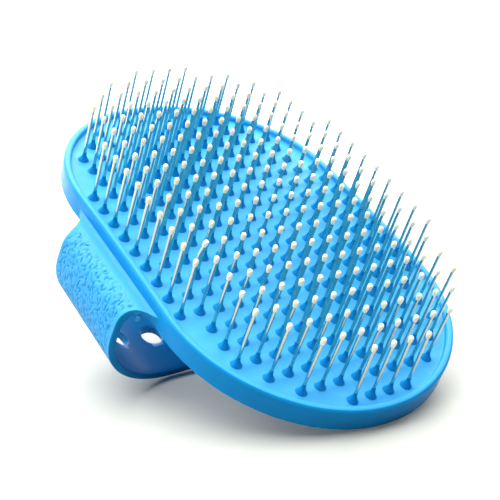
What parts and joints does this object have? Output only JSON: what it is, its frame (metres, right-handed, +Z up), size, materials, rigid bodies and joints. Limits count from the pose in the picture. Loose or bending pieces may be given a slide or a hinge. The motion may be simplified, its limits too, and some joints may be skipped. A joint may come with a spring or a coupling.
{
  "type": "rubber curry brush",
  "caption": "Palm-held grooming brush: domed oval rubber pad with rows of ball-tipped steel pins, and a grained hand strap looped under it.",
  "frame": {"origin": "on the table, under the middle of the brush's bounding box, with the brush resting on its strap and on the low end of the pad", "axes": "+X towards the pad's low end, along its length; +Y across the pad; +Z up from the table. The pad leans about 27 degrees about Y"},
  "size_m": [0.1236, 0.0988, 0.0775],
  "materials": {
    "pad_rubber": "satin",
    "strap_rubber": "satin",
    "back_rubber": "matte",
    "inner_plate": "matte",
    "pin_steel": "polished",
    "tip_plastic": "gloss"
  },
  "bodies": {
    "root": {"rubber_pad": "pad_rubber", "pin_carrier": "inner_plate", "back_cover": "back_rubber", "hand_strap": "strap_rubber", "pin_row_01": "pin_steel", "pin_row_02": "pin_steel", "pin_row_03": "pin_steel", "pin_row_04": "pin_steel", "pin_row_05": "pin_steel", "pin_row_06": "pin_steel", "pin_row_07": "pin_steel", "pin_row_08": "pin_steel", "pin_row_09": "pin_steel", "pin_row_10": "pin_steel", "pin_row_11": "pin_steel", "pin_row_12": "pin_steel", "pin_row_13": "pin_steel", "pin_row_14": "pin_steel", "pin_row_15": "pin_steel", "pin_row_16": "pin_steel", "pin_row_17": "pin_steel", "pin_row_18": "pin_steel", "pin_row_19": "pin_steel", "pin_row_20": "pin_steel", "pin_row_21": "pin_steel", "tip_row_01": "tip_plastic", "tip_row_02": "tip_plastic", "tip_row_03": "tip_plastic", "tip_row_04": "tip_plastic", "tip_row_05": "tip_plastic", "tip_row_06": "tip_plastic", "tip_row_07": "tip_plastic", "tip_row_08": "tip_plastic", "tip_row_09": "tip_plastic", "tip_row_10": "tip_plastic", "tip_row_11": "tip_plastic", "tip_row_12": "tip_plastic", "tip_row_13": "tip_plastic", "tip_row_14": "tip_plastic", "tip_row_15": "tip_plastic", "tip_row_16": "tip_plastic", "tip_row_17": "tip_plastic", "tip_row_18": "tip_plastic", "tip_row_19": "tip_plastic", "tip_row_20": "tip_plastic", "tip_row_21": "tip_plastic"}
  },
  "joints": []
}
